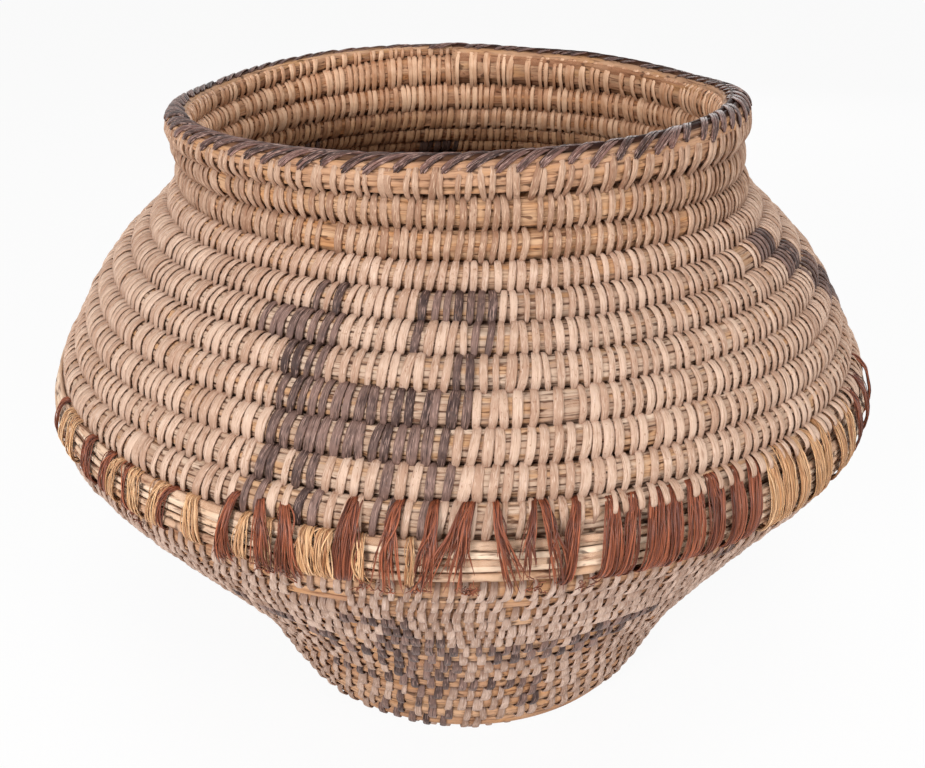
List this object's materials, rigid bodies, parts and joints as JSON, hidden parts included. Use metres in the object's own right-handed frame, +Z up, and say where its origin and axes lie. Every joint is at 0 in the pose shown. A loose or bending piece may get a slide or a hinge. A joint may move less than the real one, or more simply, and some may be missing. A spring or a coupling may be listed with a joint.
{
  "type": "storage basket",
  "caption": "Coiled storage basket with a short neck, wide shoulder, tapering foot and open mouth; a repair round of stems is tied on below the shoulder.",
  "frame": {"origin": "middle of the face that the basket stands on, under the centre of its mouth", "axes": "+Z up out of the mouth, -Y towards the front that the picture shows, +X to the right of that front"},
  "size_m": [0.3517, 0.3517, 0.2739],
  "materials": {
    "golden_foundation": "dry split plant stems",
    "grey_foundation": "aged plant stems",
    "straw_stem": "pale smooth straw",
    "dark_splint": "dark split bark, satin",
    "red_raffia": "red-brown raffia",
    "tan_raffia": "golden-tan raffia"
  },
  "bodies": {
    "root": {"upper_wall_coil": "golden_foundation", "lower_wall_coil": "grey_foundation", "base_coil": "grey_foundation", "base_start_knot": "grey_foundation", "rim_coil": "golden_foundation", "rim_binding": "dark_splint", "repair_stem_outer_1": "straw_stem", "repair_stem_outer_2": "straw_stem", "repair_stem_outer_3": "straw_stem", "repair_stem_outer_4": "straw_stem", "repair_stem_inner_1": "straw_stem", "repair_stem_inner_2": "straw_stem", "repair_stem_inner_3": "straw_stem", "repair_stem_inner_4": "straw_stem", "red_raffia_tie_01": "red_raffia", "red_raffia_tie_02": "red_raffia", "red_raffia_tie_03": "red_raffia", "red_raffia_tie_04": "red_raffia", "red_raffia_tie_05": "red_raffia", "red_raffia_tie_06": "red_raffia", "red_raffia_tie_07": "red_raffia", "red_raffia_tie_08": "red_raffia", "red_raffia_tie_09": "red_raffia", "red_raffia_tie_10": "red_raffia", "red_raffia_tie_11": "red_raffia", "red_raffia_tie_12": "red_raffia", "red_raffia_tie_13": "red_raffia", "red_raffia_tie_14": "red_raffia", "red_raffia_tie_15": "red_raffia", "red_raffia_tie_16": "red_raffia", "red_raffia_tie_17": "red_raffia", "red_raffia_tie_18": "red_raffia", "red_raffia_tie_19": "red_raffia", "red_raffia_tie_20": "red_raffia", "red_raffia_tie_21": "red_raffia", "red_raffia_tie_22": "red_raffia", "red_raffia_tie_23": "red_raffia", "tan_raffia_tie_01": "tan_raffia", "tan_raffia_tie_02": "tan_raffia", "tan_raffia_tie_03": "tan_raffia", "tan_raffia_tie_04": "tan_raffia", "tan_raffia_tie_05": "tan_raffia", "tan_raffia_tie_06": "tan_raffia", "tan_raffia_tie_07": "tan_raffia", "tan_raffia_tie_08": "tan_raffia", "tan_raffia_tie_09": "tan_raffia", "tan_raffia_tie_10": "tan_raffia", "tan_raffia_tie_11": "tan_raffia", "tan_raffia_tie_12": "tan_raffia", "back_raffia_tie_01": "tan_raffia", "back_raffia_tie_02": "tan_raffia", "back_raffia_tie_03": "tan_raffia", "back_raffia_tie_04": "tan_raffia", "back_raffia_tie_05": "tan_raffia", "back_raffia_tie_06": "tan_raffia", "back_raffia_tie_07": "tan_raffia", "back_raffia_tie_08": "tan_raffia"}
  },
  "joints": []
}
